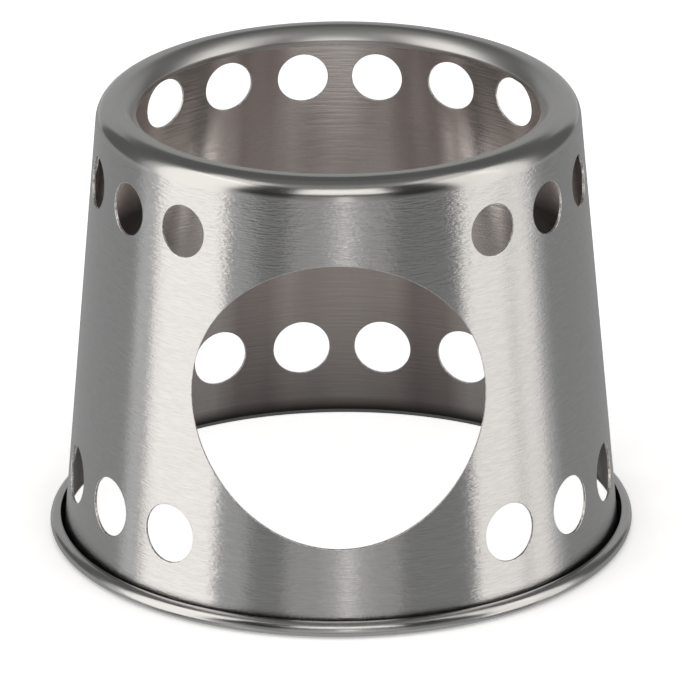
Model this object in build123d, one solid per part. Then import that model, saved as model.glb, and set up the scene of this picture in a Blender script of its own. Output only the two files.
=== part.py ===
from build123d import *

import math
import os

# Camping stove: one cone of thin stainless sheet that stands wide end down around a small fire.
# Millimetres, +Z up. Origin on the cone's axis, on the surface that the stove stands on.
# The fuel door faces -Y. The sheet is split at its two finish lines into three zones that meet
# face to face: the brushed wall, the satin collar above it and the polished curl below it.

# Overall
BASE_DIAMETER = 114.0      # over the curl at the foot
HEIGHT = 88.3              # floor to the crest of the collar
SHEET = 0.5                # thickness of the steel, the same everywhere

# Tapered wall, measured on its outer face
FOOT_DIAMETER = 108.5      # the wall's outer face carried down to the floor
TAPER = 5.15               # degrees that the wall leans inwards

# Collar: the sheet rolls over at the top and turns down into the mouth
SHOULDER_RADIUS = 4.1      # outer radius of the roll
LAND = 0.5                 # flat ring on the crest, where a pot stands
MOUTH_DIAMETER = 77.7      # clear opening inside the turned-down lip
LIP_DEPTH = 3.5            # crest to the lip's cut edge
LIP_ROLL_RADIUS = 2.2      # bend from the crest into the lip's slope
LIP_SLOPE_START = 125.0    # degrees round the section, 90 on the crest and 180 straight down
LIP_SLOPE_END = 148.0      # the slope between them is a long shallow bend
LIP_TURN_RADIUS = 0.7      # last bend, into the straight lip

# Curl: the sheet flares out at the foot and rolls up into an open hook
CURL_RADIUS = 1.5          # outer radius of the hook
CURL_END = 112.0           # degrees round the hook, from straight outwards, where the sheet is cut
FLARE_RADIUS = 0.7         # bend between the wall's outer face and the foot

# Fuel door, cut square to the axis
DOOR_DIAMETER = 55.4
DOOR_HEIGHT = 44.35        # floor to the door's centre

# Air holes: two rows of equal stations, counted both ways from the door's centre line
STATION_PITCH = 19.0       # degrees
STATIONS = range(2, 10)    # the door takes the place of stations 0 and 1
DRAUGHT_DIAMETER = 11.4    # lower row, air in
DRAUGHT_HEIGHT = 15.35
VENT_DIAMETER = 10.0       # upper row, hot gas out
VENT_HEIGHT = 75.3

# Worked out from the above
SLOPE = math.tan(math.radians(TAPER))
BASE_RADIUS = BASE_DIAMETER / 2
MOUTH_RADIUS = MOUTH_DIAMETER / 2
LIP_EDGE = HEIGHT - LIP_DEPTH


def wall_radius(z):
    """Radius of the wall's outer face at height z."""
    return FOOT_DIAMETER / 2 - SLOPE * z


def beside_wall(z, distance):
    """Point at height z, `distance` outside the wall's outer face, or inside it if negative."""
    return (wall_radius(z) + distance / math.cos(math.radians(TAPER)), z)


def around(centre, radius, angle):
    """Point on a circle in the section; 0 degrees is away from the axis and 90 is up."""
    turn = math.radians(angle)
    return (centre[0] + radius * math.cos(turn), centre[1] + radius * math.sin(turn))


def lip_slope_radius(roll):
    """Radius of the slope's bend that brings the last bend out exactly at the mouth."""
    start = math.cos(math.radians(LIP_SLOPE_START))
    end = math.cos(math.radians(LIP_SLOPE_END))
    reach = roll[0] - MOUTH_RADIUS + LIP_ROLL_RADIUS * start - LIP_TURN_RADIUS * (1 + end)
    return reach / (start - end)


# Centres of the bends, in the section
SHOULDER = beside_wall(HEIGHT - SHOULDER_RADIUS, -SHOULDER_RADIUS)
LIP_ROLL = (SHOULDER[0] - LAND, HEIGHT - LIP_ROLL_RADIUS)
LIP_SLOPE_RADIUS = lip_slope_radius(LIP_ROLL)
LIP_SLOPE = around(LIP_ROLL, LIP_ROLL_RADIUS - LIP_SLOPE_RADIUS, LIP_SLOPE_START)
LIP_TURN = around(LIP_SLOPE, LIP_SLOPE_RADIUS - LIP_TURN_RADIUS, LIP_SLOPE_END)
FLARE = beside_wall(SHEET + FLARE_RADIUS, FLARE_RADIUS)
CURL = (BASE_RADIUS - CURL_RADIUS, CURL_RADIUS)


def spin(edges):
    """Closed section, drawn as radius and height, turned once round the axis."""
    return revolve(Plane.XZ * make_face(edges), Axis.Z, 360)


def drill(diameter, height, angle):
    """Level cutter that passes through the wall on one side, `angle` degrees round from -Y."""
    length = BASE_RADIUS
    cutter = Pos(0, -length, height) * Rot(90, 0, 0) * Cylinder(diameter / 2, length)
    return Rot(0, 0, angle) * cutter


def make_wall():
    """Straight cone between the flare and the shoulder, with its door and two rows of holes."""
    foot_out = around(FLARE, -FLARE_RADIUS, TAPER)
    foot_in = around(FLARE, -FLARE_RADIUS - SHEET, TAPER)
    top_out = around(SHOULDER, SHOULDER_RADIUS, TAPER)
    top_in = around(SHOULDER, SHOULDER_RADIUS - SHEET, TAPER)
    wall = spin(Polyline(foot_out, top_out, top_in, foot_in, close=True))
    wall -= drill(DOOR_DIAMETER, DOOR_HEIGHT, 0)
    for station in STATIONS:
        for side in (-1, 1):
            angle = side * station * STATION_PITCH
            wall -= drill(DRAUGHT_DIAMETER, DRAUGHT_HEIGHT, angle)
            wall -= drill(VENT_DIAMETER, VENT_HEIGHT, angle)
    return wall


def lip_bends(depth):
    """Bends of the lip from the crest to the mouth, drawn `depth` below the outer face."""
    slope = LIP_SLOPE_END - LIP_SLOPE_START
    return [
        CenterArc(LIP_ROLL, LIP_ROLL_RADIUS - depth, 90, LIP_SLOPE_START - 90),
        CenterArc(LIP_SLOPE, LIP_SLOPE_RADIUS - depth, LIP_SLOPE_START, slope),
        CenterArc(LIP_TURN, LIP_TURN_RADIUS - depth, LIP_SLOPE_END, 180 - LIP_SLOPE_END),
    ]


def make_collar():
    """Shoulder roll, flat crest and lip turned down into the mouth."""
    shoulder_in = SHOULDER_RADIUS - SHEET
    under = HEIGHT - SHEET
    edges = [
        CenterArc(SHOULDER, SHOULDER_RADIUS, TAPER, 90 - TAPER),
        Line((SHOULDER[0], HEIGHT), (LIP_ROLL[0], HEIGHT)),
        *lip_bends(0),
        Polyline(
            (MOUTH_RADIUS, LIP_TURN[1]),
            (MOUTH_RADIUS, LIP_EDGE),
            (MOUTH_RADIUS + SHEET, LIP_EDGE),
            (MOUTH_RADIUS + SHEET, LIP_TURN[1]),
        ),
        *lip_bends(SHEET),
        Line((LIP_ROLL[0], under), (SHOULDER[0], under)),
        CenterArc(SHOULDER, shoulder_in, 90, TAPER - 90),
        Line(around(SHOULDER, shoulder_in, TAPER), around(SHOULDER, SHOULDER_RADIUS, TAPER)),
    ]
    return spin(edges)


def make_curl():
    """Flare at the foot, flat ring that the stove stands on, and the hook rolled up outside it."""
    flare_end = 90 - TAPER
    curl_in = CURL_RADIUS - SHEET
    edges = [
        CenterArc(FLARE, FLARE_RADIUS, 180 + TAPER, flare_end),
        Line((FLARE[0], SHEET), (CURL[0], SHEET)),
        CenterArc(CURL, curl_in, -90, 90 + CURL_END),
        Line(around(CURL, curl_in, CURL_END), around(CURL, CURL_RADIUS, CURL_END)),
        CenterArc(CURL, CURL_RADIUS, CURL_END, -90 - CURL_END),
        Line((CURL[0], 0), (FLARE[0], 0)),
        CenterArc(FLARE, FLARE_RADIUS + SHEET, 270, -flare_end),
        Line(around(FLARE, -FLARE_RADIUS - SHEET, TAPER), around(FLARE, -FLARE_RADIUS, TAPER)),
    ]
    return spin(edges)


os.makedirs("parts", exist_ok=True)
export_step(make_wall(), "parts/tapered_wall.step")
export_step(make_collar(), "parts/rolled_collar.step")
export_step(make_curl(), "parts/base_curl.step")
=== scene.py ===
import math

import bpy
import numpy as np
from mathutils import Matrix, Vector


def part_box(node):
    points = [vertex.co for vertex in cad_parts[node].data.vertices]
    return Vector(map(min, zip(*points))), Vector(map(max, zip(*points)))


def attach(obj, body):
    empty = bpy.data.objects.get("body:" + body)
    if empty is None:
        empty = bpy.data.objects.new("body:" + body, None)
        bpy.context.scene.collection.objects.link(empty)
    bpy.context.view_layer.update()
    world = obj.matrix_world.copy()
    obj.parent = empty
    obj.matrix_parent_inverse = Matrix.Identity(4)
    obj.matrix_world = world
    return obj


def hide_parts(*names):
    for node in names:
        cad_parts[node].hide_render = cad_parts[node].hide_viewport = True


# Camping stove: a cone of thin stainless sheet with a round fuel door, two rows of air holes, a
# rolled collar and a curled foot. Metres, +Z up, the door faces -Y, the floor is at z = 0.

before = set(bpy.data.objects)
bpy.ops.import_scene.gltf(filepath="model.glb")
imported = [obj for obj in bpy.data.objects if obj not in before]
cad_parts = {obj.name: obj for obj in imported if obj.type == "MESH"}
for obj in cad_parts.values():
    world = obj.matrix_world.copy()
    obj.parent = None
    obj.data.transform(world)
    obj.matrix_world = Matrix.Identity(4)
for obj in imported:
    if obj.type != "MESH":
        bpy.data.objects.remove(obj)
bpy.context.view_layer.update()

MM = 0.001

# ---------------------------------------------------------------- sizes of the sheet, millimetres

SHEET = 0.5                # thickness of the steel
FOOT_RADIUS = 54.25        # wall's outer face carried down to the floor
TAPER = math.radians(5.15)
SLOPE = math.tan(TAPER)
CURL_RADIUS = 1.5          # hook at the foot
CURL_END = 112.0           # degrees round the hook where the sheet is cut
FLARE_RADIUS = 0.7         # bend from the wall into the foot
SHOULDER_RADIUS = 4.1
LIP_DEPTH = 3.5            # crest to the lip's cut edge
LIP_ROLL_RADIUS = 2.2      # bend from the crest into the lip's slope
LIP_SLOPE_START, LIP_SLOPE_END = 125.0, 148.0   # degrees; 90 is the crest, 180 straight down
LIP_TURN_RADIUS = 0.7      # last bend, into the straight lip
LAND = 0.5                 # flat ring on the crest
MOUTH_RADIUS = 38.85       # inside the straight lip
DOOR_RADIUS, DOOR_HEIGHT = 27.7, 44.35
DRAUGHT_RADIUS, DRAUGHT_HEIGHT = 5.7, 15.35
VENT_RADIUS, VENT_HEIGHT = 5.0, 75.3
STATION_PITCH = 19.0       # degrees between air holes
STATIONS = range(2, 10)    # counted both ways from the door's centre line
EDGE_ROUND = 0.12          # the small round on every cut edge
BASE_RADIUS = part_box("base_curl")[1].x / MM
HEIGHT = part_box("rolled_collar")[1].z / MM


def wall_radius(z):
    """Outer radius of the wall at height z: a straight line that leans in by the taper."""
    return FOOT_RADIUS - SLOPE * z


def beside_wall(z, distance):
    """Section point at height z, `distance` outside the wall's outer face."""
    return np.array([wall_radius(z) + distance / math.cos(TAPER), z])


def spoke(angle):
    """Unit vector in the section; 0 degrees is away from the axis and 90 is up."""
    return np.array([math.cos(math.radians(angle)), math.sin(math.radians(angle))])


SHOULDER = beside_wall(HEIGHT - SHOULDER_RADIUS, -SHOULDER_RADIUS)
CREST_EDGE = SHOULDER[0] - LAND
LIP_REACH = (CREST_EDGE - MOUTH_RADIUS + LIP_ROLL_RADIUS * spoke(LIP_SLOPE_START)[0]
             - LIP_TURN_RADIUS * (1 + spoke(LIP_SLOPE_END)[0]))
LIP_SLOPE_RADIUS = LIP_REACH / (spoke(LIP_SLOPE_START) - spoke(LIP_SLOPE_END))[0]
LIP_ROLL = np.array([CREST_EDGE, HEIGHT - LIP_ROLL_RADIUS])
LIP_SLOPE = LIP_ROLL + (LIP_ROLL_RADIUS - LIP_SLOPE_RADIUS) * spoke(LIP_SLOPE_START)
LIP_TURN = LIP_SLOPE + (LIP_SLOPE_RADIUS - LIP_TURN_RADIUS) * spoke(LIP_SLOPE_END)
FLARE = beside_wall(SHEET + FLARE_RADIUS, FLARE_RADIUS)
CURL = np.array([BASE_RADIUS - CURL_RADIUS, CURL_RADIUS])

# ---------------------------------------------------------------- mesh helpers

COLUMN_STEPS = 16          # mesh steps across one hole's column
DOOR_HALF = 1.5 * STATION_PITCH
SHARP_EDGE = math.radians(40)
BRUSH_RADIUS = 0.05        # radius that turns the brush map's angle into metres


def column_edges():
    """Angles of the columns' edges, in degrees from the door: one column per hole station."""
    right = DOOR_HALF + STATION_PITCH * np.arange(len(STATIONS) + 1)
    right[-1] = 180.0
    return right


def ring_angles():
    """Every mesh angle round the stove, in degrees from -180 up to but not including 180."""
    right = column_edges()
    fine = [np.linspace(a, b, COLUMN_STEPS, endpoint=False) for a, b in zip(right[:-1], right[1:])]
    right_side = np.concatenate(fine + [[180.0]])
    left_side = -right_side[::-1]
    door = np.linspace(-DOOR_HALF, DOOR_HALF, 3 * COLUMN_STEPS, endpoint=False)[1:]
    return np.concatenate([left_side, door, right_side])[:-1]


def turned(radius, angle, height):
    """Point at that radius, angle in degrees from -Y towards +X, and height; mm to metres."""
    a = np.radians(angle)
    return np.stack([radius * np.sin(a), -radius * np.cos(a), height + 0 * a], -1) * MM


def weld(points, quads, marks):
    """Joins points closer than a tenth of a micron, and drops quads left with no area."""
    keys = np.round(points * 1e7).astype(np.int64)
    _, first, back = np.unique(keys, axis=0, return_index=True, return_inverse=True)
    quads = back.reshape(-1)[quads]
    solid = (quads[:, 0] != quads[:, 2]) & (quads[:, 1] != quads[:, 3])
    return points[first], quads[solid], marks[solid], first


def sheet_piece(name, points, quads, marks, materials, climb):
    """A closed piece from welded quads, smooth except across edges sharper than 40 degrees. climb
    is each point's way up the sheet, in metres."""
    points, quads, marks, kept = weld(points, quads, marks)
    mesh = bpy.data.meshes.new(name)
    mesh.vertices.add(len(points))
    mesh.vertices.foreach_set("co", points.astype(np.float32).ravel())
    mesh.loops.add(quads.size)
    mesh.loops.foreach_set("vertex_index", quads.astype(np.int32).ravel())
    mesh.polygons.add(len(quads))
    mesh.polygons.foreach_set("loop_start", np.arange(0, quads.size, 4, dtype=np.int32))
    mesh.polygons.foreach_set("material_index", marks.astype(np.int32))
    mesh.update(calc_edges=True)
    mesh.validate()
    mesh.polygons.foreach_set("use_smooth", np.ones(len(mesh.polygons), bool))
    mesh.set_sharp_from_angle(angle=SHARP_EDGE)
    brush_map(mesh, climb[kept])
    for material in materials:
        mesh.materials.append(material)
    piece = bpy.data.objects.new(name, mesh)
    bpy.context.scene.collection.objects.link(piece)
    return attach(piece, "root")


def brush_map(mesh, climb):
    """UV map `brush`, in metres: u climbs the sheet, v runs round it, with its seam at the back."""
    co = np.zeros(len(mesh.vertices) * 3)
    mesh.vertices.foreach_get("co", co)
    co = co.reshape(-1, 3)
    corner = np.zeros(len(mesh.loops), np.int32)
    mesh.loops.foreach_get("vertex_index", corner)
    angle = np.arctan2(co[:, 0], -co[:, 1])[corner].reshape(-1, 4)
    wraps = (angle.max(1) - angle.min(1)) > math.pi
    angle[wraps] = np.where(angle[wraps] < 0, angle[wraps] + 2 * math.pi, angle[wraps])
    uv = np.stack([climb[corner], angle.ravel() * BRUSH_RADIUS], -1)
    layer = mesh.uv_layers.new(name="brush")
    layer.data.foreach_set("uv", uv.astype(np.float32).ravel())


def spun(name, section, marks, materials):
    """Closed section (radius, height), counter-clockwise seen with the axis on the left, carried
    once round the axis: point (i, j) is section point j at ring angle i."""
    angles = ring_angles()
    around, along = len(angles), len(section)
    points = turned(section[None, :, 0], angles[:, None], section[None, :, 1]).reshape(-1, 3)
    i, j = np.meshgrid(np.arange(around), np.arange(along), indexing="ij")
    i2, j2 = (i + 1) % around, (j + 1) % along
    quads = np.stack([i * along + j, i2 * along + j, i2 * along + j2, i * along + j2], -1)
    steps = np.linalg.norm(np.diff(section, axis=0), axis=1)
    climb = np.tile(np.concatenate([[0.0], np.cumsum(steps)]) * MM, around)
    return sheet_piece(name, points, quads.reshape(-1, 4), np.tile(marks, around), materials, climb)


def bend(centre, radius, start, end, steps):
    """Arc in the section from start to end degrees; 0 is away from the axis and 90 is up."""
    turn = np.radians(np.linspace(start, end, steps + 1))
    return np.stack([centre[0] + radius * np.cos(turn), centre[1] + radius * np.sin(turn)], -1)


def rounded_cut(before, corner_a, corner_b, after):
    """Cut edge of the sheet: the straight cut from corner_a to corner_b with both corners rounded.
    before and after are directions along the sheet's faces, towards the cut and away from it."""
    cut = (corner_b - corner_a) / np.linalg.norm(corner_b - corner_a)
    turn = np.linspace(0, math.pi / 2, 4)[:, None]
    one = corner_a + EDGE_ROUND * (before * (np.sin(turn) - 1) + cut * (1 - np.cos(turn)))
    two = corner_b + EDGE_ROUND * (cut * (np.sin(turn) - 1) + after * (1 - np.cos(turn)))
    return np.concatenate([one, two])


def joined(parts):
    """Joins stretches (points, mark) of a section into one closed loop and marks its sides."""
    points, marks = [], []
    for stretch, mark in parts:
        stretch = np.asarray(stretch, float)
        points.append(stretch)
        marks.append(np.full(len(stretch), mark))
    return np.concatenate(points), np.concatenate(marks)


# ---------------------------------------------------------------- tapered wall

FACE, INSIDE, CUT = 0, 1, 2     # material places on every piece


def wall_foot(depth):
    """Height of the wall's lower end at that depth below the outer face; the end is square."""
    return FLARE[1] - (FLARE_RADIUS + depth) * math.sin(TAPER)


def wall_head(depth):
    """Height of the wall's upper end at that depth, where the shoulder's bend starts."""
    return SHOULDER[1] + (SHOULDER_RADIUS - depth) * math.sin(TAPER)


def wall_point(angle, z, depth):
    """Point of the sheet at angle and height z, `depth` below its outer face."""
    return turned(wall_radius(z) - depth / math.cos(TAPER), angle, z)


def hole_rings():
    """Rings of a hole's patch from the cell's edge outside, over the cut, to the edge inside.

    Each ring is (share of the way from the hole to the cell's edge, distance outside the hole's
    radius, depth). The cut is a straight line with a quarter round at each end."""
    shares = [1.0, 0.78, 0.58, 0.4, 0.25, 0.12, 0.0]
    margin, support = 0.8, [0.4, 0.18]
    turn = np.radians([0, 30, 60, 90])
    outside = [(s, margin, 0.0) for s in shares] + [(0.0, g, 0.0) for g in support]
    over = [(0.0, EDGE_ROUND * (1 - math.sin(q)), EDGE_ROUND * (1 - math.cos(q))) for q in turn]
    top = outside + over
    return top + [(s, g, SHEET - d) for s, g, d in reversed(top)]


def hole_patch(edge, centre, height, radius):
    """Sheet round one level round hole. edge is the cell's outline, (angle, z) pairs going round
    counter-clockwise; each ring point lies towards its outline point as seen from the centre."""
    rings = np.array(hole_rings())
    at_hole = wall_radius(height)
    across = np.radians(edge[:, 0] - centre) * at_hole
    aim = np.arctan2(edge[:, 1] - height, across)
    share, growth, depth = rings[:, 0, None], rings[:, 1, None], rings[:, 2, None]
    z_hole = height + (radius + growth) * np.sin(aim)
    sideways = (radius + growth) * np.cos(aim)
    r_hole = wall_radius(z_hole) - depth / math.cos(TAPER)
    angle_hole = centre + np.degrees(np.arcsin(sideways / r_hole))
    angle = (1 - share) * angle_hole + share * edge[:, 0]
    z = (1 - share) * z_hole + share * edge[:, 1]
    points = wall_point(angle, z, depth).reshape(-1, 3)
    n = len(edge)
    k, j = np.meshgrid(np.arange(len(rings) - 1), np.arange(n), indexing="ij")
    j2 = (j + 1) % n
    quads = np.stack([k * n + j, k * n + j2, (k + 1) * n + j2, (k + 1) * n + j], -1).reshape(-1, 4)
    deeper = rings[:-1, 2] + rings[1:, 2]
    mark = np.where(deeper == 0, FACE, np.where(deeper >= 2 * SHEET, INSIDE, CUT))
    return points, quads, np.repeat(mark, n)


def grid_patch(angle, z, depth, mark):
    """Plain stretch of one face: angle and z are equal grids, first index round, second up."""
    points = wall_point(angle, z, depth).reshape(-1, 3)
    rows = angle.shape[1]
    i, j = np.meshgrid(np.arange(angle.shape[0] - 1), np.arange(rows - 1), indexing="ij")
    a, b = i * rows + j, (i + 1) * rows + j
    quads = np.stack([a, b, b + 1, a + 1], -1).reshape(-1, 4)
    if mark == INSIDE:
        quads = quads[:, ::-1]
    return points, quads, np.full(len(quads), mark)


def end_patch(angles, head):
    """Square end of the sheet, facing up at the head and down at the foot."""
    level = wall_head if head else wall_foot
    outer = wall_point(angles, level(0.0) + 0 * angles, 0.0)
    inner = wall_point(angles, level(SHEET) + 0 * angles, SHEET)
    n = len(angles)
    i = np.arange(n - 1)
    quads = np.stack([i, i + 1, n + i + 1, n + i], -1)
    if not head:
        quads = quads[:, ::-1]
    return np.concatenate([outer, inner]), quads, np.full(n - 1, CUT)


def outline(left, right, foot, head, side_left, side_right):
    """Cell outline counter-clockwise from its lower left corner: foot, right side, head, left."""
    bottom = np.stack([np.linspace(left, right, foot[1] + 1), np.full(foot[1] + 1, foot[0])], -1)
    top = np.stack([np.linspace(right, left, head[1] + 1), np.full(head[1] + 1, head[0])], -1)
    return np.concatenate([bottom[:-1], side_right[:-1], top[:-1], side_left[::-1][:-1]])


LOW_BAND = (7.0, 23.7)      # heights between which the draught holes' cells lie
TOP_BAND = (67.2, 83.2)     # the same for the vents
MIDDLE_STEPS = 24
DOOR_SWELL = 9.0            # degrees that the door's cell bulges between the bands


def door_side(side):
    """Edge between the door's cell and its neighbour: straight beside the holes, bulged between."""
    low = np.linspace(*LOW_BAND, COLUMN_STEPS + 1)
    middle = np.linspace(LOW_BAND[1], TOP_BAND[0], MIDDLE_STEPS + 1)
    top = np.linspace(*TOP_BAND, COLUMN_STEPS + 1)
    swell = DOOR_SWELL * np.sin(math.pi * (middle - middle[0]) / (middle[-1] - middle[0]))
    z = np.concatenate([low[:-1], middle[:-1], top])
    bulge = np.concatenate([0 * low[:-1], swell[:-1], 0 * top])
    return np.stack([side * (DOOR_HALF + bulge), z], -1)


def build_wall(materials):
    """Cone wall: one cell per hole, one for the door, and plain bands above, below and between."""
    patches = []

    def both_faces(angle, rows):
        """Adds the plain grid on the outer face and the inside; rows(depth) gives the heights."""
        for depth, mark in ((0.0, FACE), (SHEET, INSIDE)):
            z = rows(depth)
            grid = angle if angle.ndim == 2 else np.repeat(angle[:, None], len(z), 1)
            patches.append(grid_patch(grid, np.broadcast_to(z, grid.shape), depth, mark))

    def foot_rows(depth):
        return np.linspace(wall_foot(depth), LOW_BAND[0], 5)

    def head_rows(depth):
        return np.linspace(TOP_BAND[1], wall_head(depth), 3)

    bulged = door_side(1)[COLUMN_STEPS:COLUMN_STEPS + MIDDLE_STEPS + 1]
    edges = column_edges()
    columns = [(a, b, s) for a, b, s in zip(edges[:-1], edges[1:], STATIONS)]
    columns += [(-b, -a, -s) for a, b, s in columns]
    for left, right, station in columns:
        steps = np.linspace(left, right, COLUMN_STEPS + 1)
        both_faces(steps, foot_rows)
        both_faces(steps, head_rows)
        ends = np.full((len(bulged), 2), (left, right))
        if left == DOOR_HALF:
            ends[:, 0] = bulged[:, 0]
        if right == -DOOR_HALF:
            ends[:, 1] = -bulged[:, 0]
        share = np.linspace(0, 1, COLUMN_STEPS + 1)[:, None]
        both_faces((1 - share) * ends[:, 0] + share * ends[:, 1], lambda depth: bulged[:, 1])
        for band, height, radius in ((LOW_BAND, DRAUGHT_HEIGHT, DRAUGHT_RADIUS),
                                     (TOP_BAND, VENT_HEIGHT, VENT_RADIUS)):
            rise = np.linspace(*band, COLUMN_STEPS + 1)
            side_left = np.stack([np.full(len(rise), left), rise], -1)
            side_right = np.stack([np.full(len(rise), right), rise], -1)
            cell = outline(left, right, (band[0], COLUMN_STEPS), (band[1], COLUMN_STEPS),
                           side_left, side_right)
            patches.append(hole_patch(cell, station * STATION_PITCH, height, radius))
        patches.append(end_patch(steps, head=True))
        patches.append(end_patch(steps, head=False))
    door_steps = np.linspace(-DOOR_HALF, DOOR_HALF, 3 * COLUMN_STEPS + 1)
    both_faces(door_steps, foot_rows)
    both_faces(door_steps, head_rows)
    patches.append(end_patch(door_steps, head=True))
    patches.append(end_patch(door_steps, head=False))
    cell = outline(-DOOR_HALF, DOOR_HALF, (LOW_BAND[0], 3 * COLUMN_STEPS),
                   (TOP_BAND[1], 3 * COLUMN_STEPS), door_side(-1), door_side(1))
    patches.append(hole_patch(cell, 0.0, DOOR_HEIGHT, DOOR_RADIUS))

    points = np.concatenate([p for p, _, _ in patches])
    starts = np.cumsum([0] + [len(p) for p, _, _ in patches[:-1]])
    quads = np.concatenate([q + s for (_, q, _), s in zip(patches, starts)])
    marks = np.concatenate([m for _, _, m in patches])
    return sheet_piece("tapered_wall_sheet", points, quads, marks, materials, points[:, 2])


# ---------------------------------------------------------------- collar and curl

def lip_bends(depth):
    """The lip's three bends from the crest to the mouth, `depth` below the outer face."""
    roll = bend(LIP_ROLL, LIP_ROLL_RADIUS - depth, 90, LIP_SLOPE_START, 8)
    slope = bend(LIP_SLOPE, LIP_SLOPE_RADIUS - depth, LIP_SLOPE_START, LIP_SLOPE_END, 8)
    turn = bend(LIP_TURN, LIP_TURN_RADIUS - depth, LIP_SLOPE_END, 180, 6)
    return np.concatenate([roll, slope[1:], turn[1:]])


def build_collar(materials):
    """Section: shoulder arc, flat land, lip bends, straight to the cut, and back underneath."""
    down, up = spoke(270), spoke(90)
    edge = HEIGHT - LIP_DEPTH
    inner, outer = np.array([MOUTH_RADIUS, edge]), np.array([MOUTH_RADIUS + SHEET, edge])
    section, marks = joined([
        (bend(SHOULDER, SHOULDER_RADIUS, math.degrees(TAPER), 90, 20), FACE),
        (lip_bends(0.0), FACE),
        (rounded_cut(down, inner, outer, up), CUT),
        (lip_bends(SHEET)[::-1], INSIDE),
        (bend(SHOULDER, SHOULDER_RADIUS - SHEET, 90, math.degrees(TAPER), 16), INSIDE),
    ])
    return spun("rolled_collar_sheet", section, marks, materials)


def build_curl(materials):
    """Section: out under the flare, round the hook to its cut edge, back inside it and up."""
    flare_end, half_turn = math.degrees(TAPER), 180.0
    forward, tip = spoke(CURL_END + 90), spoke(CURL_END)
    outer, inner = CURL + CURL_RADIUS * tip, CURL + (CURL_RADIUS - SHEET) * tip
    section, marks = joined([
        (bend(FLARE, FLARE_RADIUS + SHEET, half_turn + flare_end, 270, 10), FACE),
        (bend(CURL, CURL_RADIUS, -90, CURL_END - 3, 40), FACE),
        (rounded_cut(forward, outer, inner, -forward), CUT),
        (bend(CURL, CURL_RADIUS - SHEET, CURL_END - 4, -90, 24), INSIDE),
        (bend(FLARE, FLARE_RADIUS, 270, half_turn + flare_end, 8), INSIDE),
    ])
    return spun("base_curl_sheet", section, marks, materials)


# ---------------------------------------------------------------- materials

def steel(name, tint, roughness, anisotropy=0.0):
    """Bare stainless steel: a metallic shader with its lay, and the node tree to add to. Where
    nodes drive the tint or roughness, the value given here is near their average."""
    material = bpy.data.materials.new(name)
    material.use_nodes = True
    nodes, links = material.node_tree.nodes, material.node_tree.links
    shader = nodes["Principled BSDF"]
    shader.inputs["Metallic"].default_value = 1.0
    shader.inputs["Base Color"].default_value = (*tint, 1)
    shader.inputs["Roughness"].default_value = roughness
    shader.inputs["Anisotropic"].default_value = anisotropy
    if anisotropy:
        lay = nodes.new("ShaderNodeTangent")
        lay.direction_type = "UV_MAP"
        lay.uv_map = "brush"
        links.new(lay.outputs["Tangent"], shader.inputs["Tangent"])
    return material, nodes, links, shader


def stretched(nodes, links, scale, detail):
    """Noise on object coordinates with its own scale per axis, per metre."""
    where = nodes.new("ShaderNodeTexCoord")
    placed = nodes.new("ShaderNodeMapping")
    placed.inputs["Scale"].default_value = scale
    links.new(where.outputs["Object"], placed.inputs["Vector"])
    noise = nodes.new("ShaderNodeTexNoise")
    noise.inputs["Scale"].default_value = 1.0
    noise.inputs["Detail"].default_value = detail
    links.new(placed.outputs["Vector"], noise.inputs["Vector"])
    return noise.outputs["Fac"]


def remap(nodes, links, value, low, high, out_low, out_high):
    """Straight-line remap of a value, clamped at both ends."""
    node = nodes.new("ShaderNodeMapRange")
    node.inputs["From Min"].default_value = low
    node.inputs["From Max"].default_value = high
    node.inputs["To Min"].default_value = out_low
    node.inputs["To Max"].default_value = out_high
    links.new(value, node.inputs["Value"])
    return node.outputs["Result"]


def from_axis(nodes, links):
    """Distance from the stove's axis, in metres."""
    where = nodes.new("ShaderNodeTexCoord")
    flat = nodes.new("ShaderNodeVectorMath")
    flat.operation = "MULTIPLY"
    flat.inputs[1].default_value = (1, 1, 0)
    links.new(where.outputs["Object"], flat.inputs[0])
    out = nodes.new("ShaderNodeVectorMath")
    out.operation = "LENGTH"
    links.new(flat.outputs["Vector"], out.inputs[0])
    return out.outputs["Value"]


def place_of(nodes, links, axis):
    """Place along one axis, in metres; along Z it is the height above the floor."""
    where = nodes.new("ShaderNodeTexCoord")
    parts = nodes.new("ShaderNodeSeparateXYZ")
    links.new(where.outputs["Object"], parts.inputs["Vector"])
    return parts.outputs[axis]


def feed(links, value, socket):
    """Sets a socket to a number, or links another node's output to it."""
    if isinstance(value, (int, float)):
        socket.default_value = value
    else:
        links.new(value, socket)


def maths(nodes, links, operation, *values):
    """One sum of the shader's maths node; values are sockets or numbers."""
    node = nodes.new("ShaderNodeMath")
    node.operation = operation
    for socket, value in zip(node.inputs, values):
        feed(links, value, socket)
    return node.outputs["Value"]


def bumped(nodes, links, shader, height, distance):
    """Bumps the shader's surface by a height of which one unit stands for `distance` metres."""
    bump = nodes.new("ShaderNodeBump")
    feed(links, distance, bump.inputs["Distance"])
    links.new(height, bump.inputs["Height"])
    links.new(bump.outputs["Normal"], shader.inputs["Normal"])


def mixed(nodes, links, value, dark, light):
    """Colour that runs from dark to light as the value goes from 0 to 1; each is a colour or a
    node's output."""
    mix = nodes.new("ShaderNodeMix")
    mix.data_type = "RGBA"
    links.new(value, mix.inputs["Factor"])
    for name, colour in (("A", dark), ("B", light)):
        if isinstance(colour, tuple):
            mix.inputs[name].default_value = (*colour, 1)
        else:
            links.new(colour, mix.inputs[name])
    return mix.outputs["Result"]


def tinted(nodes, links, shader, value, dark, light):
    """Base colour that runs from dark to light as the value goes from 0 to 1."""
    links.new(mixed(nodes, links, value, dark, light), shader.inputs["Base Color"])


PIT_SHARE = 0.5                                 # pits beside the brushing's own relief
FINE_GRAIN, COARSE_GRAIN = 0.000037, 0.000075   # relief of the brushing, low and high on the wall
COARSER_OVER = (0.062, 0.084)                   # heights between which it grows


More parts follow.
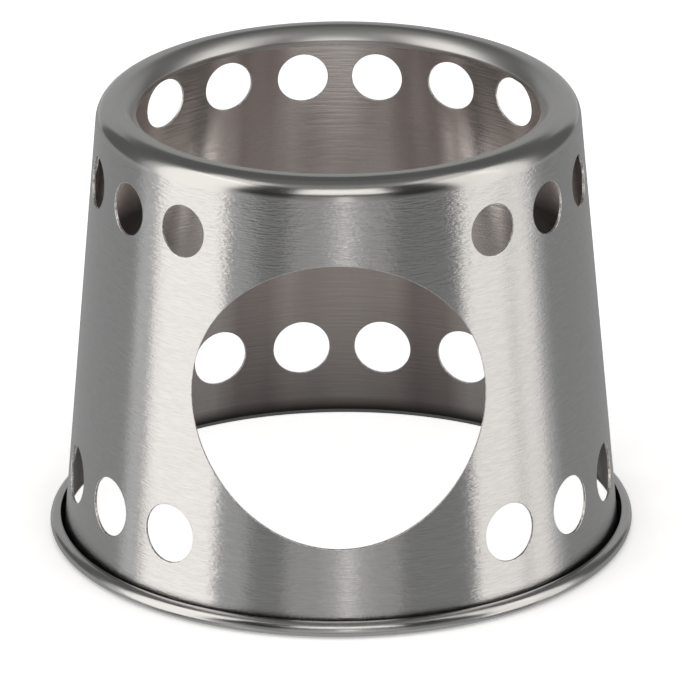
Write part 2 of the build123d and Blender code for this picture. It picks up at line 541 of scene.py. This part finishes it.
def brushed_wall():
    """Outer face of the wall: belt-brushed round the cone, coarser and pitted near the collar."""
    material, nodes, links, shader = steel("brushed_wall", (0.60, 0.60, 0.60), 0.2, 0.93)
    grain = stretched(nodes, links, (380, 380, 3100), 3.0)
    pits = stretched(nodes, links, (1300, 1300, 3400), 2.0)
    streak = stretched(nodes, links, (90, 90, 2600), 2.0)
    links.new(remap(nodes, links, streak, 0.3, 0.7, 0.187, 0.223), shader.inputs["Roughness"])
    tinted(nodes, links, shader, remap(nodes, links, grain, 0.3, 0.7, 0.0, 1.0),
           (0.576, 0.574, 0.571), (0.624, 0.622, 0.619))
    relief = maths(nodes, links, "MULTIPLY_ADD", pits, PIT_SHARE, grain)
    height = place_of(nodes, links, "Z")
    bumped(nodes, links, shader, relief,
           remap(nodes, links, height, *COARSER_OVER, FINE_GRAIN, COARSE_GRAIN))
    return material


def sideways(nodes, links):
    """How far round to the side a place is: 0 at the door and the back, 1 at either flank."""
    off = maths(nodes, links, "ABSOLUTE", place_of(nodes, links, "X"))
    return maths(nodes, links, "DIVIDE", off, from_axis(nodes, links))


# The shade and the bands below are painted: painted shade on both flanks of the back half and
# along the foot, and painted reflections as lighter and darker bands. They are guesses that make
# the inside as dark and as light as it looks from the door's side, and the real sheet may have none
# of them. From other sides the painted shade shows as a plain dark patch. Each pair is where the
# painted shade sets in or ends, and where that is complete.
BACK_HALF = (0.002, 0.01)          # along Y
PAINTED_SHADE_FOOT = (0.028, 0.036)        # heights
PAINTED_SHADE_HEAD = (0.062, 0.054)
FOOT_SHADE_LINE = (0.0042, 0.0015)
WIDE_SHADE = (0.64, 0.74)          # how far round to the side
NARROW_SHADE = (0.92, 0.97)


def painted_inside_shade(nodes, links):
    """How much painted shade the inside gets: a patch on each flank of the back half, widest
    between the two rows of air holes and narrow, right at the side, above and below that, and a
    line of painted shade all round the foot."""
    side, height = sideways(nodes, links), place_of(nodes, links, "Z")

    def share(value, span):
        return remap(nodes, links, value, *span, 0.0, 1.0)

    middle = maths(nodes, links, "MULTIPLY", share(height, PAINTED_SHADE_FOOT), share(height, PAINTED_SHADE_HEAD))
    wide = maths(nodes, links, "MULTIPLY", share(side, WIDE_SHADE), middle)
    flank = maths(nodes, links, "MAXIMUM", wide, share(side, NARROW_SHADE))
    back = share(place_of(nodes, links, "Y"), BACK_HALF)
    return maths(nodes, links, "MAXIMUM", maths(nodes, links, "MULTIPLY", back, flank),
                 share(height, FOOT_SHADE_LINE))


# Painted reflections inside, as lighter and darker bands up the sheet: (how far round to the side,
# brightness from 0 to 1).
PAINTED_REFLECTION_BANDS = ((0.0, 0.55), (0.2, 0.55), (0.29, 0.08), (0.4, 0.08), (0.49, 0.95), (0.88, 0.95),
         (1.0, 0.3))
REFLECTION_BAND_DARK, REFLECTION_BAND_LIGHT = (0.47, 0.418, 0.412), (0.97, 0.92, 0.895)
# Colour of the painted shade inside.
PAINTED_SHADE_TINT = (0.10, 0.094, 0.087)


def inside_steel():
    """Inside face: warmer from drawing, with painted reflections as lighter and darker bands up the
    sheet and clouds in them, painted shade on both flanks and along the foot, and with faint rings
    left by the spinning."""
    material, nodes, links, shader = steel("inside_steel", (0.78, 0.74, 0.70), 0.21, 0.8)
    rings = stretched(nodes, links, (110, 110, 1900), 2.0)
    reflection_cloud = stretched(nodes, links, (60, 60, 14), 2.0)
    links.new(remap(nodes, links, rings, 0.35, 0.65, 0.19, 0.24), shader.inputs["Roughness"])
    bands = nodes.new("ShaderNodeValToRGB")
    while len(bands.color_ramp.elements) < len(PAINTED_REFLECTION_BANDS):
        bands.color_ramp.elements.new(1.0)
    for element, (place, grey) in zip(bands.color_ramp.elements, PAINTED_REFLECTION_BANDS):
        element.position = place
        element.color = (grey, grey, grey, 1)
    links.new(sideways(nodes, links), bands.inputs["Fac"])
    # Painted reflections: the bands, with clouds in them.
    share = maths(nodes, links, "ADD", bands.outputs["Color"],
                  remap(nodes, links, reflection_cloud, 0.38, 0.62, -0.15, 0.15))
    painted_reflections = mixed(nodes, links, share, REFLECTION_BAND_DARK, REFLECTION_BAND_LIGHT)
    # Painted shade laid over the painted reflections.
    tinted(nodes, links, shader, painted_inside_shade(nodes, links), painted_reflections, PAINTED_SHADE_TINT)
    bumped(nodes, links, shader, rings, 0.00004)
    return material


def curl_channel_painted_shade():
    """Inside of the hook, which no polish reaches: dull, and dark with painted shade in patches."""
    material, nodes, links, shader = steel("curl_channel_painted_shade", (0.2, 0.19, 0.185), 0.5)
    patchy_shade = stretched(nodes, links, (300, 300, 300), 3.0)
    # Painted shade in the hook's channel, darker in patches.
    tinted(nodes, links, shader, remap(nodes, links, patchy_shade, 0.35, 0.65, 0.0, 1.0),
           (0.012, 0.012, 0.011), (0.07, 0.066, 0.063))
    return material


def satin_collar():
    """Collar: smooth satin over the shoulder, duller round the lip, with fine spinning rings."""
    material, nodes, links, shader = steel("satin_collar", (0.60, 0.60, 0.59), 0.2)
    lip, shoulder = (CREST_EDGE - 1.0) * MM, (CREST_EDGE + 1.5) * MM
    links.new(remap(nodes, links, from_axis(nodes, links), lip, shoulder, 0.32, 0.19),
              shader.inputs["Roughness"])
    grain = stretched(nodes, links, (160, 160, 2600), 3.0)
    bumped(nodes, links, shader, grain, 0.000008)
    return material


def polished_curl():
    """Curl: smoother than the wall, with the roller's fine lines round it."""
    material, nodes, links, shader = steel("polished_curl", (0.60, 0.60, 0.595), 0.2, 0.5)
    lines = stretched(nodes, links, (260, 260, 3000), 3.0)
    links.new(remap(nodes, links, lines, 0.3, 0.7, 0.17, 0.26), shader.inputs["Roughness"])
    bumped(nodes, links, shader, lines, 0.000012)
    return material


def cut_edge():
    """Bare punched edge: bright, with the short tears the punch leaves across the sheet."""
    material, nodes, links, shader = steel("cut_edge", (0.9, 0.89, 0.88), 0.32)
    tears = stretched(nodes, links, (2200, 2200, 2200), 2.0)
    tinted(nodes, links, shader, remap(nodes, links, tears, 0.35, 0.6, 0.0, 1.0),
           (0.5, 0.49, 0.48), (0.98, 0.975, 0.96))
    bumped(nodes, links, shader, tears, 0.00006)
    return material


inside, cut = inside_steel(), cut_edge()
wall = build_wall([brushed_wall(), inside, cut])
collar = build_collar([satin_collar(), inside, cut])
curl = build_curl([polished_curl(), curl_channel_painted_shade(), cut])
for piece, node, slot in ((wall, "tapered_wall", "brushed_wall"),
                          (collar, "rolled_collar", "satin_collar"),
                          (curl, "base_curl", "polished_curl")):
    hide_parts(node)

# ---------------------------------------------------------------- floor, light and camera

FLOOR_SIZE = 12.0
FLOOR_TINT = (0.93, 0.93, 0.93, 1)
FLOOR_PAINTED_BOUNCE = 0.8                 # painted bounce light from the white room round the table
FLOOR_SHADE_REACH = 0.055        # metres over which the stove hides that bounce
OPEN_GROUND = (0.0545, 0.0568)   # inside this radius the ground has none of that shade
ROOM = (0.13, 0.129, 0.128, 1)   # the dim room behind the softboxes
NEUTRAL = (1.0, 1.0, 1.0)
WARM = (1.0, 0.96, 0.92)
BLACK_FELT = (0.005, 0.005, 0.005)
FLAG_DISTANCE = 1.2
GROUND_RADIUS = 0.056
GROUND_LIFT = 0.00002            # keeps the card off the floor
GROUND_TINT = (0.85, 0.84, 0.82)
GROUND_PAINTED_GLOW = 0.07
GROUND_PAINTED_SHADE = (0.0, 0.045)     # places along Y between which painted shade takes it down to a quarter


def stage_floor():
    """Pale floor that glows with painted bounce light, with painted shade round the stove's foot.
    The steel mirrors the softboxes past its edge instead of the floor.
    """
    half = FLOOR_SIZE / 2
    corners = [(-half, -half, 0), (half, -half, 0), (half, half, 0), (-half, half, 0)]
    mesh = bpy.data.meshes.new("floor")
    mesh.from_pydata(corners, [], [(0, 1, 2, 3)])
    material = bpy.data.materials.new("floor")
    material.use_nodes = True
    nodes, links = material.node_tree.nodes, material.node_tree.links
    shader = nodes["Principled BSDF"]
    shader.inputs["Base Color"].default_value = FLOOR_TINT
    shader.inputs["Roughness"].default_value = 0.9
    shader.inputs["Emission Color"].default_value = (1, 1, 1, 1)
    # Painted bounce light, with painted shade where the stove hides it.
    shade = nodes.new("ShaderNodeAmbientOcclusion")
    shade.samples = 8
    shade.inputs["Distance"].default_value = FLOOR_SHADE_REACH
    open_ground = remap(nodes, links, from_axis(nodes, links), *OPEN_GROUND, 1.0, 0.0)
    unshaded = maths(nodes, links, "MAXIMUM", shade.outputs["AO"], open_ground)
    links.new(maths(nodes, links, "MULTIPLY", unshaded, FLOOR_PAINTED_BOUNCE),
              shader.inputs["Emission Strength"])
    mesh.materials.append(material)
    plate = bpy.data.objects.new("floor", mesh)
    plate.visible_glossy = False
    plate.visible_shadow = False
    bpy.context.scene.collection.objects.link(plate)


def on_sky(azimuth, elevation, distance):
    """Point at that azimuth and elevation from the stove's foot, in degrees, and distance."""
    a, e = math.radians(azimuth), math.radians(elevation)
    return distance * Vector((math.sin(a) * math.cos(e), -math.cos(a) * math.cos(e), math.sin(e)))


def softbox(name, azimuth, elevation, distance, width, height, radiance, colour):
    """Soft rectangular light that faces the stove; azimuth is from the door, towards +X, and width
    and height are the degrees it covers as seen from the stove."""
    light = bpy.data.lights.new(name, "AREA")
    light.shape = "RECTANGLE"
    light.size = 2 * distance * math.tan(math.radians(width / 2))
    light.size_y = 2 * distance * math.tan(math.radians(height / 2))
    light.color = colour
    light.energy = radiance * math.pi * light.size * light.size_y
    lamp = bpy.data.objects.new(name, light)
    bpy.context.scene.collection.objects.link(lamp)
    place = on_sky(azimuth, elevation, distance)
    lamp.location = place
    lamp.rotation_euler = (-place).to_track_quat("-Z", "Y").to_euler()
    lamp.visible_camera = False


def reflected_card(name, corners, tint, glow=0.0, shaded_from=None):
    """Flat card that only the steel's reflections see, such as a black flag between two lights.
    shaded_from gives the two places along Y between which painted shade takes it down to a quarter."""
    mesh = bpy.data.meshes.new(name)
    mesh.from_pydata(corners, [], [tuple(range(len(corners)))])
    material = bpy.data.materials.new(name)
    material.use_nodes = True
    nodes, links = material.node_tree.nodes, material.node_tree.links
    shader = nodes["Principled BSDF"]
    shader.inputs["Base Color"].default_value = (*tint, 1)
    shader.inputs["Roughness"].default_value = 0.9
    shader.inputs["Emission Color"].default_value = (1, 1, 1, 1)
    shader.inputs["Emission Strength"].default_value = glow
    mesh.materials.append(material)
    if shaded_from is not None:
        # Painted shade towards the back.
        share = remap(nodes, links, place_of(nodes, links, "Y"), *shaded_from, 0.0, 1.0)
        tinted(nodes, links, shader, share, tint, tuple(0.25 * channel for channel in tint))
    card = bpy.data.objects.new(name, mesh)
    card.visible_camera = False
    card.visible_diffuse = False
    card.visible_shadow = False
    bpy.context.scene.collection.objects.link(card)


def flag(name, left, right, foot, head):
    """Black flag that covers those azimuths and elevations, at FLAG_DISTANCE."""
    corners = [on_sky(azimuth, elevation, FLAG_DISTANCE)
               for azimuth, elevation in ((left, foot), (right, foot), (right, head), (left, head))]
    reflected_card(name, corners, BLACK_FELT)


def ground_in_reflections():
    """Pale round card on the ground inside the foot, with a faint painted glow and painted shade
    towards the back, which the steel mirrors in place of the floor."""
    turns = np.radians(np.arange(0, 360, 10))
    rim = [(GROUND_RADIUS * math.cos(t), GROUND_RADIUS * math.sin(t), GROUND_LIFT) for t in turns]
    reflected_card("ground_in_reflections", rim, GROUND_TINT, GROUND_PAINTED_GLOW, GROUND_PAINTED_SHADE)


# Name, azimuth, elevation, distance, width, height, radiance, colour. Those below the floor light
# the steel only, where it would mirror the white ground, and no real studio could hold them. All
# were tried out on the view of the door alone; from other sides the bands they give are chance.
SOFTBOXES = (
    ("left_softbox", -71, 11, 1.6, 40, 82, 1.31, WARM),
    ("left_feather", -45, -20, 2.0, 14, 60, 0.2, NEUTRAL),
    ("left_edge", -96, 11, 1.6, 10, 78, 0.36, NEUTRAL),
    ("right_edge", 100, 10, 1.6, 6, 74, 0.25, NEUTRAL),
    ("right_softbox", 69, 10, 1.6, 26, 78, 1.12, WARM),
    ("right_feather", 89.5, 10, 1.6, 15, 78, 1.0, WARM),
    ("front_high", 4, 42, 2.0, 44, 25, 1.3, WARM),
    ("front_top", 4, 66, 2.1, 50, 24, 0.17, NEUTRAL),
    ("overhead", 0, 90, 2.2, 56, 26, 0.04, NEUTRAL),
    ("left_high", -71, 57, 1.9, 24, 16, 0.9, WARM),
    ("right_high", 74, 57, 1.9, 24, 16, 0.7, WARM),
    ("front_fill", 1, -8, 2.2, 46, 52, 0.17, WARM),
    ("front_strip", 3, 4, 2.0, 6, 30, 0.8, WARM),
    ("front_halo", 3, -6, 2.1, 20, 40, 0.09, NEUTRAL),
    ("low_front", 3, -30, 2.4, 108, 52, 0.16, NEUTRAL),
    ("low_left", -137, -28, 2.4, 84, 50, 0.23, NEUTRAL),
    ("low_right", 139, -28, 2.4, 84, 50, 0.2, NEUTRAL),
    ("under", 0, -90, 2.2, 80, 80, 0.3, NEUTRAL),
    ("back_glow", 180, 16, 2.2, 76, 44, 0.28, NEUTRAL),
)

stage_floor()
ground_in_reflections()
flag("left_flag", -46, -20, 9, 55)
flag("right_flag", 24, 52, 10, 55)
for settings in SOFTBOXES:
    softbox(*settings)

world = bpy.data.worlds.new("studio")
world.use_nodes = True
world.node_tree.nodes["Background"].inputs["Color"].default_value = ROOM
bpy.context.scene.world = world

camera_data = bpy.data.cameras.new("camera")
camera_data.sensor_width = 36.0
camera_data.lens = 371.4
camera_data.clip_end = 50.0
camera = bpy.data.objects.new("camera", camera_data)
bpy.context.scene.collection.objects.link(camera)
bpy.context.scene.camera = camera

AIM = Vector((0.00155, 0.0, 0.0363))
CAMERA_DISTANCE = 1.396
CAMERA_AZIMUTH = math.radians(0.37)
CAMERA_ELEVATION = 0.3868
CAMERA_ROLL = 0.0065
back = Vector((math.sin(CAMERA_AZIMUTH) * math.cos(CAMERA_ELEVATION),
               -math.cos(CAMERA_AZIMUTH) * math.cos(CAMERA_ELEVATION),
               math.sin(CAMERA_ELEVATION)))
camera.location = AIM + CAMERA_DISTANCE * back
camera.rotation_mode = "QUATERNION"
camera.rotation_quaternion = back.to_track_quat("Z", "Y") @ Matrix.Rotation(
    -CAMERA_ROLL, 3, "Z").to_quaternion()

bpy.context.scene.view_settings.view_transform = "Standard"
